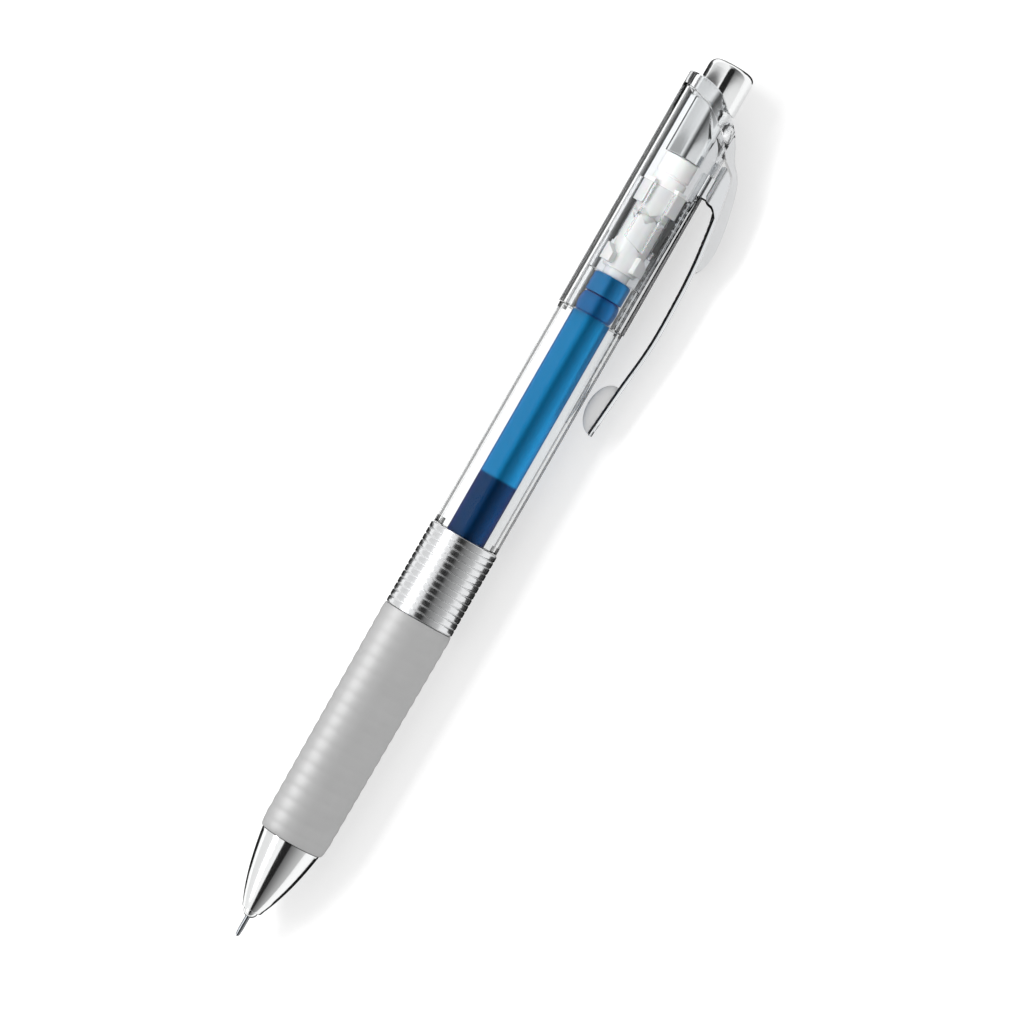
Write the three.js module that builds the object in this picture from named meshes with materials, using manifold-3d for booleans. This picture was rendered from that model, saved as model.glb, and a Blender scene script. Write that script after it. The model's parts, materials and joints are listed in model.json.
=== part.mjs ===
// A retractable needle-point gel pen, lying on its side on a table.
// Millimetres, +Z up. The pen points along -X with its button at +X, and it rests
// on its grip and on the edge of the clip's cover, as a pen with a clip does.
// The pieces are drawn about the pen's own axis, with x = 0 at the writing ball,
// the clip on the -Y side, and the whole pen is rolled onto its clip at the end.

import * as THREE from 'three';
import { mergeVertices } from 'three/addons/utils/BufferGeometryUtils.js';
import Module from 'manifold-3d';

const wasm = await Module();
wasm.setup();

// ---------------------------------------------------------------- driving sizes

// Lengths along the pen, from the tip to the button
const needleReach = 4.3;        // needle and its bead, ahead of the nose cone
const noseLength = 11.4;
const gripLength = 36.9;
const collarLength = 13.4;
const barrelLength = 36.4;
const housingLength = 36;
const buttonReach = 5.6;        // button past the housing, in the writing position

// Travel of the refill and the button from the writing position
const retractTravel = 5;        // back to the hidden position
const overTravel = 1.3;         // forward, to let the cam step round

// Clearances
const fitGap = 0.1;             // between pieces fixed together, all round
const faceGap = 0.1;            // between end faces that meet
const runGap = 0.35;            // around a piece that slides or turns
const leafGap = 0.12;           // between the clip and what holds it

// Refill
const refillRadius = 3;
const refillWall = 0.5;
const ballRadius = 0.25;
const needleRadius = 0.37;
const needleBore = 0.14;
const needlePress = 0.05;       // needle in its holder
const needleEmbed = 4;          // length of needle inside the holder
const beadLength = 1.25;
const holderRadius = 1.15;
const holderReach = 5.1;        // plain part of the holder inside the nose cone
const holderFlange = 1.2;
const jointRadius = 1.75;       // adaptor between holder and tube, inside the spring
const jointLength = 13.3;
const jointFlange = 1.2;
const jointWall = 0.45;
const plugDepth = 3.5;          // how deep a plug or adaptor goes into its tube
const inkLength = 47;
const followerLength = 4.5;
const plugBulb = 3.1;
const plugBulbOver = 0.03;      // bulb past the tube's outside
const plugCap = 3.15;
const ventRadius = 0.5;

// Return spring
const wireRadius = 0.2;
const coilRadius = 2.4;
const coilTurns = 9;

// Nose cone
const noseLip = 0.2;            // wall at the mouth
const noseMouth = 2.6;          // length of the narrow mouth
const noseSeat = 5;             // spring seat, behind the front edge
const noseBulge = 4.2;          // where the curve is drawn out to
const noseBulgeDrop = 1.05;     // and how far below the rear edge it is
const spigotWall = 0.6;
const noseSpigot = 6.2;

// Grip and front barrel
const coreWall = 0.6;
const gripFrontWall = 0.45;
const gripRearWall = 0.75;
const gripChamfer = 1.1;
const gripRings = 19;
const gripRingDepth = 0.07;

// Ribbed collar
const collarWall = 0.63;
const ribCount = 13;
const ribDepth = 0.28;

// Rear barrel and clip housing
const barrelWall = 1.1;
const barrelSpigot = 7.9;       // into the front barrel
const rearSpigotWall = 0.95;
const rearSpigot = 6.4;         // into the housing
const housingWall = 0.95;

// Latch: guide sleeve, rotor and plunger
const lobes = 4;
const sleeveWall = 0.5;
const sleeveFront = 4.9;        // plain part ahead of the guide ribs
const sleeveLength = 14.7;
const rotorRadius = 2.6;
const rotorHub = 1.2;
const rotorBody = 7.7;
const rotorRib = 2.6;
const lobeStandOff = 0.6;       // lobes ahead of the guide ribs, in the writing position
const ribGap = 0.2;             // rotor rib to groove floor
const rotorPin = 1.3;
const rotorPinLength = 3;
const crownTeeth = 8;
const crownHeight = 1;
const crownGap = 0.25;
const pinGap = 0.2;
const grooveAngle = 40;
const lobeAngle = 30;
const stopSlant = 1.4;
const plungerBlock = 9.6;
const plungerFin = 4;
const finSetback = 1.2;
const pegRadius = 1.9;
const pegLength = 5.9;

// Push button
const buttonRadius = 3.55;
const buttonCap = 6.5;
const buttonEdge = 1.3;
const stemRadius = 2.85;
const buttonGap = 0.3;

// Clip and the clear cover over its root
const clipThickness = 0.8;
const clipWidth = 4.4;
const clipTipWidth = 3.2;
const clipArmLength = 27.6;
const clipSplit = 0.3;          // at the line where the arm flexes
const footWidth = 3;
const footThickness = 0.5;
const coverWidth = 4.6;
const dimpleLength = 8;
const dimpleWidth = 2.4;
const dimpleRise = 2.3;

// Facets round the pen
const bodySides = 30;
const smallSides = 16;

// ------------------------------------------------------------- stations and radii

const noseX = needleReach;
const gripX = noseX + noseLength;
const collarX = gripX + gripLength;
const barrelX = collarX + collarLength;
const housingX = barrelX + barrelLength;
const endX = housingX + housingLength;
const buttonEndX = endX + buttonReach;

const sleeveBore = refillRadius + runGap;       // every spigot the refill slides in
const spigotRadius = sleeveBore + spigotWall;
const coreBore = spigotRadius + fitGap;
const coreRadius = coreBore + coreWall;
const skinBore = coreRadius + fitGap;           // rubber grip and collar
const gripFrontRadius = skinBore + gripFrontWall;
const gripRearRadius = skinBore + gripRearWall;
const collarRadius = skinBore + collarWall;
const barrelRadius = coreBore + barrelWall;
const rearSpigotRadius = sleeveBore + rearSpigotWall;
const housingBore = rearSpigotRadius + fitGap;
const housingRadius = housingBore + housingWall;

const tubeBore = refillRadius - refillWall;
const holderFlangeX = noseX + holderReach;
const jointX = holderFlangeX + holderFlange + faceGap;
const jointFlangeX = jointX + jointLength;
const tubeX = jointFlangeX + jointFlange + faceGap;
const tubeEndX = housingX + faceGap;
const plugEndX = tubeEndX + faceGap + plugBulb + plugCap;

const sleeveX = housingX + rearSpigot + faceGap;
const guideX = sleeveX + sleeveFront;
const sleeveEndX = sleeveX + sleeveLength;
const sleeveRadius = housingBore - fitGap;
const grooveRadius = sleeveRadius - sleeveWall;
const guideRadius = rotorRadius + runGap;
const lobeRadius = grooveRadius - ribGap;
const rotorX = plugEndX + faceGap;
const crownX = rotorX + rotorHub + rotorBody;
const lobeX = guideX - lobeStandOff - rotorRib;
const plungerX = crownX + crownHeight + crownGap;
const plungerEndX = plungerX + plungerBlock;
const stemX = plungerEndX + faceGap;
const capX = buttonEndX - buttonCap;
const buttonBore = buttonRadius + buttonGap;

const pen = new THREE.Group();

// ------------------------------------------------------------------------ helpers

function finish(colour, roughness, metalness, opacity = 1) {
  return new THREE.MeshStandardMaterial({
    color: colour,
    roughness,
    metalness,
    opacity,
    transparent: opacity < 1,
  });
}

function piece(name, geometry, material) {
  const mesh = new THREE.Mesh(geometry, material);
  mesh.name = name;
  pen.add(mesh);
}

// A solid turned about the pen's axis from points [x, radius]. The outside runs
// towards +x, and the profile starts and ends on the axis.
function turned(points, sides = bodySides) {
  const profile = points.map(([x, radius]) => new THREE.Vector2(radius, x));
  const geometry = new THREE.LatheGeometry(profile, sides);
  geometry.rotateZ(-Math.PI / 2);
  return geometry;
}

// A turned ring, whose profile closes on itself: outside towards +x, then the bore.
function turnedRing(points, sides = bodySides) {
  return turned([...points, points[0]], sides);
}

function tube(fromX, toX, bore, radius, sides = bodySides) {
  return turnedRing([[fromX, bore], [fromX, radius], [toX, radius], [toX, bore]], sides);
}

function rod(fromX, toX, radius, sides = bodySides) {
  return turned([[fromX, 0], [fromX, radius], [toX, radius], [toX, 0]], sides);
}

// Points [x, radius] on an arc about a centre, from one angle to another
function arc(centreX, centreRadius, radius, from, to, steps) {
  const points = [];
  for (let step = 0; step <= steps; step += 1) {
    const angle = from + (to - from) * step / steps;
    points.push([centreX + radius * Math.cos(angle), centreRadius + radius * Math.sin(angle)]);
  }
  return points;
}

function solid(geometry) {
  const bare = geometry.clone();
  bare.deleteAttribute('normal');
  bare.deleteAttribute('uv');
  const merged = mergeVertices(bare, 1e-4);
  const corners = merged.index.array;
  const kept = [];
  for (let i = 0; i < corners.length; i += 3) {
    const [a, b, c] = corners.slice(i, i + 3);
    if (a !== b && b !== c && c !== a) {
      kept.push(a, b, c);
    }
  }
  return new wasm.Manifold(new wasm.Mesh({
    numProp: 3,
    vertProperties: new Float32Array(merged.attributes.position.array),
    triVerts: new Uint32Array(kept),
  }));
}

function geometryOf(manifold) {
  const mesh = manifold.getMesh();
  const geometry = new THREE.BufferGeometry();
  geometry.setAttribute('position', new THREE.BufferAttribute(mesh.vertProperties, 3));
  geometry.setIndex(new THREE.BufferAttribute(mesh.triVerts, 1));
  geometry.computeVertexNormals();
  return geometry;
}

// An outline of [x, y] points, extruded to a width across the clip's plane
function plate(points, width) {
  const shape = new THREE.Shape(points.map(([x, y]) => new THREE.Vector2(x, y)));
  const geometry = new THREE.ExtrudeGeometry(shape, { depth: width, bevelEnabled: false });
  geometry.translate(0, 0, -width / 2);
  return geometry;
}

function block(fromX, toX, fromY, toY, width) {
  return plate([[fromX, fromY], [toX, fromY], [toX, toY], [fromX, toY]], width);
}

// Points on a smooth curve through [x, y] points
function smooth(points, steps) {
  const curve = new THREE.SplineCurve(points.map(([x, y]) => new THREE.Vector2(x, y)));
  return curve.getPoints(steps).map((point) => [point.x, point.y]);
}

// Moves the vertices that the test picks along the pen by a rule of their angle
function slant(geometry, picks, shift) {
  const position = geometry.attributes.position;
  for (let i = 0; i < position.count; i += 1) {
    const [x, y, z] = [position.getX(i), position.getY(i), position.getZ(i)];
    if (picks(x, Math.hypot(y, z))) {
      position.setX(i, x + shift(Math.atan2(z, y)));
    }
  }
  return geometry;
}

// Angles of the grooves, the rotor's lobes and the plunger's fins. They straddle
// the clip, whose foot stands between two of them.
function lobeCentres() {
  return Array.from({ length: lobes }, (_, n) => (n + 0.5) * 2 * Math.PI / lobes);
}

// How far an angle is past the middle of the nearest lobe
function pastLobe(angle) {
  const pitch = 2 * Math.PI / lobes;
  const turn = (angle / pitch - 0.5) % 1;
  return (turn - Math.round(turn)) * pitch;
}

// One lobe of a splined piece: a sector from inside its body out to a radius
function lobe(angle, fromX, toX, inner, outer, slope) {
  const half = THREE.MathUtils.degToRad(lobeAngle) / 2;
  const shape = new THREE.Shape();
  shape.absarc(0, 0, outer, angle - half, angle + half, false);
  shape.absarc(0, 0, inner, angle + half, angle - half, true);
  const geometry = new THREE.ExtrudeGeometry(shape, {
    depth: toX - fromX,
    bevelEnabled: false,
    curveSegments: 4,
  });
  alongPen(geometry, fromX);
  return slant(geometry, (x) => x > toX - fitGap, (at) => -slope * (pastLobe(at) + half));
}

// Turns an extrusion from the XY plane to run along the pen from a station, with
// the drawing's x along the pen's y and its y along the pen's z
function alongPen(geometry, fromX) {
  const basis = new THREE.Matrix4().makeBasis(
    new THREE.Vector3(0, 1, 0),
    new THREE.Vector3(0, 0, 1),
    new THREE.Vector3(1, 0, 0),
  );
  geometry.applyMatrix4(basis);
  geometry.translate(fromX, 0, 0);
}

// ------------------------------------------------------------------------- refill

function writingBall() {
  const geometry = new THREE.SphereGeometry(ballRadius, smallSides, smallSides / 2);
  geometry.rotateZ(-Math.PI / 2);
  geometry.translate(ballRadius, 0, 0);
  piece('writing_ball', geometry, finish(0x8f9396, 0.15, 1));
}

function needlePipe() {
  const lipX = 0.8 * ballRadius;
  const seatX = 2 * ballRadius + fitGap;
  const coneX = 5 * ballRadius;
  const endX = noseX - beadLength + needleEmbed;
  piece('needle_pipe', turnedRing([
    [lipX, ballRadius + 0.2 * needlePress],
    [lipX, ballRadius + needlePress],
    [coneX, needleRadius],
    [endX, needleRadius],
    [endX, needleBore],
    [seatX, needleBore],
    [seatX, ballRadius + 0.2 * needlePress],
  ], smallSides), finish(0xc9ccd0, 0.2, 1));
}

function tipHolder() {
  const frontX = noseX - beadLength;
  const bore = needleRadius + needlePress;
  const pipeEndX = frontX + needleEmbed + faceGap;
  const tailX = jointX + plugDepth - faceGap;
  const tailRadius = jointRadius - jointWall - fitGap;
  const bead = arc(noseX, 0, beadLength, Math.PI * 0.88, Math.PI / 2, 6)
    .map(([x, r]) => [x, Math.min(r * holderRadius / beadLength, holderRadius)]);
  piece('tip_holder', turnedRing([
    [bead[0][0], bore],
    ...bead,
    [holderFlangeX, holderRadius],
    [holderFlangeX, jointRadius],
    [holderFlangeX + holderFlange, jointRadius],
    [holderFlangeX + holderFlange, tailRadius],
    [tailX, tailRadius],
    [tailX, needleBore * 2],
    [pipeEndX, needleBore * 2],
    [pipeEndX, bore],
  ], smallSides), finish(0xd8dadd, 0.12, 1));
}

function tipJoint() {
  const spigotEndX = tubeX + plugDepth;
  const throat = jointRadius - jointWall - 2 * fitGap - needleBore;
  piece('tip_joint', turnedRing([
    [jointX, jointRadius - jointWall],
    [jointX, jointRadius],
    [jointFlangeX, jointRadius],
    [jointFlangeX, refillRadius],
    [jointFlangeX + jointFlange, refillRadius],
    [jointFlangeX + jointFlange, tubeBore - fitGap],
    [spigotEndX, tubeBore - fitGap],
    [spigotEndX, throat],
    [jointX + plugDepth, throat],
    [jointX + plugDepth, jointRadius - jointWall],
  ]), finish(0xe9ecee, 0.4, 0));
}

function refillTube() {
  piece('refill_tube', tube(tubeX, tubeEndX, tubeBore, refillRadius),
    finish(0x4f97cf, 0.15, 0, 0.55));
}

function inkColumn() {
  const frontX = tubeX + plugDepth + faceGap;
  const endX = frontX + inkLength;
  const radius = tubeBore - fitGap;
  piece('ink_column', turned([
    [frontX, 0],
    [frontX, radius],
    [endX - 0.6, radius],
    [endX - 0.2, radius * 0.85],
    [endX, radius * 0.5],
    [endX, 0],
  ]), finish(0x0b1c46, 0.2, 0));
}

function followerGel() {
  const frontX = tubeX + plugDepth + faceGap + inkLength + faceGap;
  piece('follower_gel', rod(frontX, frontX + followerLength, tubeBore - fitGap),
    finish(0x9fc6e4, 0.1, 0, 0.6));
}

function tailPlug() {
  const bulbX = tubeEndX + faceGap;
  const capX = bulbX + plugBulb;
  const spigotX = tubeEndX - plugDepth;
  const bulbRadius = refillRadius + plugBulbOver;
  const half = plugBulb / 2;
  const bulb = arc(bulbX + half, 0, half, Math.PI * 0.9, Math.PI * 0.1, 6)
    .map(([x, r]) => [x, bulbRadius * (0.86 + 0.14 * r / half)]);
  piece('tail_plug', turnedRing([
    [spigotX, ventRadius],
    [spigotX, tubeBore - fitGap],
    [bulbX, tubeBore - fitGap],
    ...bulb,
    [capX, bulbRadius * 0.86],
    [capX + 0.15, bulbRadius - 0.11],
    [plugEndX - 0.4, bulbRadius - 0.11],
    [plugEndX, bulbRadius - 0.5],
    [plugEndX, ventRadius],
  ]), finish(0x1f6fb5, 0.35, 0));
}

function returnSpring() {
  const fromX = noseX + noseSeat + wireRadius + fitGap;
  const toX = jointFlangeX - wireRadius - fitGap;
  class Coil extends THREE.Curve {
    getPoint(t, target = new THREE.Vector3()) {
      const angle = coilTurns * 2 * Math.PI * t;
      return target.set(
        fromX + (toX - fromX) * t,
        coilRadius * Math.cos(angle),
        coilRadius * Math.sin(angle),
      );
    }
  }
  const wire = new THREE.Shape();
  wire.absarc(0, 0, wireRadius, 0, 2 * Math.PI, false);
  const stepsPerTurn = 10;
  piece('return_spring', new THREE.ExtrudeGeometry(wire, {
    steps: coilTurns * stepsPerTurn,
    curveSegments: 3,
    extrudePath: new Coil(),
  }), finish(0xb9bdc2, 0.25, 1));
}

// ------------------------------------------------------------------ front of the pen

function noseCone() {
  const mouth = holderRadius + 0.5 * runGap;
  const curve = new THREE.QuadraticBezierCurve(
    new THREE.Vector2(noseX, mouth + noseLip),
    new THREE.Vector2(noseX + noseBulge, coreRadius - noseBulgeDrop),
    new THREE.Vector2(gripX, coreRadius),
  );
  const outside = curve.getPoints(9).map((point) => [point.x, point.y]);
  const seatX = noseX + noseSeat;
  const spigotEndX = gripX + noseSpigot;
  const throat = jointRadius + runGap;
  piece('nose_cone', turnedRing([
    [noseX, mouth],
    ...outside,
    [gripX, spigotRadius],
    [spigotEndX, spigotRadius],
    [spigotEndX, sleeveBore],
    [seatX + 3, sleeveBore],
    [seatX, coilRadius + wireRadius + runGap],
    [seatX, throat],
    [noseX + noseMouth + 1, throat],
    [noseX + noseMouth, mouth],
  ]), finish(0xdfe1e3, 0.1, 1));
}

function gripCore() {
  piece('grip_core', tube(gripX + faceGap, barrelX - faceGap, coreBore, coreRadius),
    finish(0xe4e6e7, 0.35, 0, 0.8));
}

function rubberGrip() {
  const frontX = gripX + faceGap;
  const endX = collarX - faceGap;
  const fullX = frontX + gripChamfer;
  const pitch = (endX - fullX) / gripRings;
  const outside = [];
  for (let ring = 0; ring < gripRings; ring += 1) {
    const share = (ring + 0.5) / gripRings;
    const crest = gripFrontRadius + (gripRearRadius - gripFrontRadius) * share;
    outside.push([fullX + ring * pitch, crest - gripRingDepth]);
    outside.push([fullX + (ring + 0.5) * pitch, crest]);
  }
  piece('rubber_grip', turnedRing([
    [frontX, skinBore],
    [frontX, skinBore + fitGap],
    ...outside,
    [endX, gripRearRadius - gripRingDepth],
    [endX, skinBore],
  ]), finish(0xb9b9b9, 0.75, 0));
}

function ribbedCollar() {
  const endX = barrelX - faceGap;
  const pitch = (endX - collarX) / ribCount;
  const outside = [];
  for (let rib = 0; rib < ribCount; rib += 1) {
    const ribX = collarX + rib * pitch;
    outside.push([ribX, collarRadius - ribDepth]);
    outside.push([ribX + 0.25 * pitch, collarRadius]);
    outside.push([ribX + 0.7 * pitch, collarRadius]);
    outside.push([ribX + 0.9 * pitch, collarRadius - ribDepth]);
  }
  piece('ribbed_collar', turnedRing([
    [collarX, skinBore],
    ...outside,
    [endX, collarRadius - ribDepth],
    [endX, skinBore],
  ]), finish(0xd4d6d9, 0.18, 1));
}

// ------------------------------------------------------------------- rear of the pen

function rearBarrel() {
  piece('rear_barrel', turnedRing([
    [barrelX - barrelSpigot, sleeveBore],
    [barrelX - barrelSpigot, spigotRadius],
    [barrelX, spigotRadius],
    [barrelX, barrelRadius],
    [housingX, barrelRadius],
    [housingX, rearSpigotRadius],
    [housingX + rearSpigot, rearSpigotRadius],
    [housingX + rearSpigot, sleeveBore],
    [housingX, sleeveBore],
    [housingX - 2, coreBore],
    [barrelX + 2, coreBore],
    [barrelX, sleeveBore],
  ]), finish(0xf2f4f5, 0.08, 0, 0.35));
}

// The slanted line where the housing ends and its cover begins, from the side
// away from the clip to the clip's root. It is moved along the pen by an offset.
function slantLine(offset) {
  return smooth([
    [endX + 0.4 + offset, housingRadius + 1],
    [endX - 0.4 + offset, 0.56 * housingRadius],
    [endX - 1.6 + offset, 0],
    [endX - 3.5 + offset, -0.47 * housingRadius],
    [endX - 5 + offset, -0.78 * housingRadius],
    [endX - 6.6 + offset, -housingRadius],
    [endX - 8.4 + offset, -housingRadius - 2.1],
  ], 14);
}

// The clip's outer face, as [x, y] from its root to where the arm flexes
function clipRootFace(lift = 0) {
  return smooth([
    [endX - 8.9, -housingRadius - 2.2 - lift],
    [endX - 14.2, -housingRadius - 3.2 - lift],
    [endX - 20.4, -housingRadius - 4.05 - lift],
    [endX - 22.9, -housingRadius - 4.3 - lift],
  ], 8);
}

function clipHousing() {
  const deep = 2 * housingRadius;
  const keptPart = plate([
    [housingX - 1, deep],
    [housingX - 1, -deep],
    [endX - 8.4 - faceGap, -deep],
    ...slantLine(-faceGap).reverse(),
    [endX + 0.4 - faceGap, deep],
  ], 4 * housingRadius);
  const slot = block(
    footX() + 1.25, footX() + 4.75, -deep, -0.6 * housingRadius, footWidth + 3 * fitGap,
  );
  const shell = solid(tube(housingX + faceGap, endX + 2, housingBore, housingRadius));
  const shape = shell.intersect(solid(keptPart)).subtract(solid(slot));
  piece('clip_housing', geometryOf(shape), finish(0xe3e6e8, 0.1, 0, 0.4));
}

function endCap() {
  const lineOut = smooth([
    [endX + 2, housingRadius + 1],
    [endX + 1.9, 0.6 * housingRadius],
    [endX + 1, 0],
    [endX - 0.6, -0.4 * housingRadius],
    [endX - 2.4, -0.8 * housingRadius],
    [endX - 4.2, -housingRadius - 0.25],
    [endX - 6.5, -housingRadius - 1.5],
    [endX - 9, -housingRadius - 3.35],
    [endX - 14.5, -housingRadius - 4.85],
    [endX - 19.2, -housingRadius - 5.45],
    [endX - 21.7, -housingRadius - 5.15],
    [endX - 22.8, -housingRadius - 4.6],
  ], 26);
  const outline = [...slantLine(0), ...clipRootFace(leafGap), ...lineOut.reverse()];
  const band = solid(plate(outline, 4 * housingRadius));
  const round = solid(rod(endX - 12, endX + 3, housingRadius));
  const cover = solid(block(
    endX - 23.5, endX - 3, -housingRadius - 8, -0.6 * housingRadius, coverWidth,
  ));
  const bore = solid(rod(endX - 13, endX + 4, buttonBore));
  const shape = band.intersect(round.add(cover)).subtract(bore);
  piece('end_cap', geometryOf(shape), finish(0xe8ebec, 0.1, 0, 0.4));
}

// -------------------------------------------------------------------------- clip

function footX() {
  return endX - 14.5;
}

// The folded root of the clip: the strip under the cover, the block that stands
// on the housing, and the foot hooked through the housing's slot.
function clipRoot() {
  const outer = clipRootFace();
  const strip = outer.filter(([x]) => x < endX - 14).map(([x, y]) => [x, y + clipThickness]);
  const seatY = -housingRadius - fitGap;
  const body = plate([
    ...outer,
    ...strip.reverse(),
    [endX - 13.7, -housingRadius - 2],
    [endX - 13.3, seatY],
    [endX - 7, seatY],
  ], clipWidth);
  const footY = -housingBore + 0.4;
  const neck = block(footX() + 1.4, footX() + 4.6, seatY - 1, footY, footWidth);
  const foot = block(footX(), footX() + 4.6, footY, footY + footThickness, footWidth);
  const shape = solid(body).add(solid(neck)).add(solid(foot));
  piece('clip_root', geometryOf(shape), finish(0xb4b7ba, 0.25, 1));
}

// The free arm of the clip, with the pressed leaf that grips the pocket
function clipArm() {
  const rootX = endX - 22.9 - clipSplit;
  const tipX = rootX - clipArmLength;
  const face = smooth([
    [rootX, -housingRadius - 4.32],
    [rootX - 4, -housingRadius - 4.52],
    [rootX - 12, -housingRadius - 4.57],
    [rootX - 20, -housingRadius - 3.81],
    [tipX, -housingRadius - 3.18],
  ], 12);
  const back = face.map(([x, y]) => [x, y + clipThickness]).reverse();
  const strip = solid(plate([...face, ...back], 2 * clipWidth));
  const plan = new THREE.Shape([
    new THREE.Vector2(rootX + 1, clipWidth / 2),
    new THREE.Vector2(tipX - 1, clipTipWidth / 2),
    new THREE.Vector2(tipX - 1, -clipTipWidth / 2),
    new THREE.Vector2(rootX + 1, -clipWidth / 2),
  ]);
  const outline = new THREE.ExtrudeGeometry(plan, { depth: 30, bevelEnabled: false });
  outline.rotateX(Math.PI / 2);
  const leaf = new THREE.SphereGeometry(1, 20, 12);
  leaf.rotateZ(-Math.PI / 2);
  leaf.scale(dimpleLength / 2, dimpleRise, dimpleWidth / 2);
  leaf.translate(tipX + dimpleLength / 2, -housingRadius - 2.6, 0);
  const inner = solid(leaf).intersect(
    solid(block(tipX, rootX, -housingRadius - 3, 0, clipWidth)),
  );
  const shape = strip.intersect(solid(outline)).add(inner);
  piece('clip_arm', geometryOf(shape), finish(0xc3c6c9, 0.2, 1));
}

// ------------------------------------------------------------------------- latch

// Guide sleeve: a plain ring ahead, where the rotor is free to turn, and then the
// guide ribs with slanted ends, which the rotor's lobes stop on or slide between
function camSleeve() {
  const half = THREE.MathUtils.degToRad(grooveAngle) / 2;
  const shape = new THREE.Shape();
  shape.absarc(0, 0, sleeveRadius, 0, 2 * Math.PI, false);
  const inside = new THREE.Path();
  for (const centre of lobeCentres()) {
    inside.absarc(0, 0, grooveRadius, centre - half, centre + half, false);
    const next = centre + 2 * Math.PI / lobes;
    inside.absarc(0, 0, guideRadius, centre + half, next - half, false);
  }
  inside.closePath();
  shape.holes.push(inside);
  const splined = new THREE.ExtrudeGeometry(shape, {
    depth: sleeveEndX - guideX,
    bevelEnabled: false,
    curveSegments: 8,
  });
  alongPen(splined, guideX);
  const crest = (guideRadius + grooveRadius) / 2;
  const pitch = 2 * Math.PI / lobes;
  slant(
    splined,
    (x, radius) => x < guideX + fitGap && radius < crest,
    (at) => stopSlant * ((pastLobe(at) + pitch) % pitch) / pitch,
  );
  const ring = tube(sleeveX, guideX + fitGap, grooveRadius, sleeveRadius, lobes * 8);
  piece('cam_sleeve', geometryOf(solid(splined).add(solid(ring))), finish(0xf4f4f2, 0.45, 0));
}

// Height of a crown tooth round the end of the rotor or the plunger
function crownWave(angle) {
  const turn = angle / (2 * Math.PI) * crownTeeth;
  return 1 - Math.abs(2 * (turn - Math.floor(turn)) - 1);
}

function camRotor() {
  const shank = turned([
    [rotorX, 0],
    [rotorX, rotorRadius - 0.6],
    [rotorX + rotorHub, rotorRadius - 0.6],
    [rotorX + rotorHub, rotorRadius],
    [crownX, rotorRadius],
    [crownX, rotorPin],
    [crownX + rotorPinLength, rotorPin],
    [crownX + rotorPinLength, 0],
  ], crownTeeth * 4);
  slant(
    shank,
    (x, radius) => Math.abs(x - crownX) < fitGap && radius > rotorRadius - fitGap,
    (at) => crownHeight * crownWave(at),
  );
  let shape = solid(shank);
  for (const centre of lobeCentres()) {
    const arm = lobe(centre, lobeX, lobeX + rotorRib, rotorRadius - 0.3, lobeRadius, 0.9);
    shape = shape.add(solid(arm));
  }
  piece('cam_rotor', geometryOf(shape), finish(0xf0f0ee, 0.4, 0));
}

function plunger() {
  const pinBore = rotorPin + pinGap;
  const pinDepth = rotorPinLength;
  const shank = turned([
    [plungerX + pinDepth, 0],
    [plungerX + pinDepth, pinBore],
    [plungerX, pinBore],
    [plungerX, rotorRadius],
    [plungerEndX, rotorRadius],
    [plungerEndX, pegRadius],
    [plungerEndX + pegLength, pegRadius],
    [plungerEndX + pegLength, 0],
  ], crownTeeth * 4);
  slant(
    shank,
    (x, radius) => Math.abs(x - plungerX) < fitGap && radius > rotorRadius - fitGap,
    (at) => 0.8 * crownHeight * crownWave(at),
  );
  let shape = solid(shank);
  for (const centre of lobeCentres()) {
    const from = plungerX + finSetback;
    const fin = lobe(centre, from, from + plungerFin, rotorRadius - 0.3, lobeRadius, 0);
    shape = shape.add(solid(fin));
  }
  piece('plunger', geometryOf(shape), finish(0xfafafa, 0.4, 0));
}

function pushButton() {
  const pegBore = pegRadius + fitGap;
  const boreEndX = plungerEndX + pegLength + faceGap;
  const edge = arc(buttonEndX - buttonEdge, buttonRadius - buttonEdge, buttonEdge,
    Math.PI / 2, 0, 5);
  piece('push_button', turned([
    [boreEndX, 0],
    [boreEndX, pegBore],
    [stemX, pegBore],
    [stemX, stemRadius],
    [capX, stemRadius],
    [capX, buttonRadius],
    ...edge,
    [buttonEndX, 0],
  ]), finish(0xcfd1d3, 0.18, 1));
}

// ---------------------------------------------------------------------- assembly

writingBall();
needlePipe();
tipHolder();
tipJoint();
refillTube();
inkColumn();
followerGel();
tailPlug();
returnSpring();
noseCone();
gripCore();
rubberGrip();
ribbedCollar();
rearBarrel();
clipHousing();
endCap();
clipRoot();
clipArm();
camSleeve();
camRotor();
plunger();
pushButton();

// The pen rolls about its axis until the cover's edge is as low as the grip
const coverReach = housingRadius + 5.45;
const coverEdge = Math.hypot(coverReach, coverWidth / 2);
pen.rotation.x = Math.asin(gripRearRadius / coverEdge) - Math.atan2(coverWidth / 2, coverReach);

// The origin is under the middle of the pen's box, on the table
const group = new THREE.Group();
group.add(pen);
const box = new THREE.Box3().setFromObject(group, true);
pen.position.set(-(box.min.x + box.max.x) / 2, -(box.min.y + box.max.y) / 2, -box.min.z);

export default group;
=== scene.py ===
import json
import math

import bpy
from mathutils import Matrix, Vector


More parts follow.
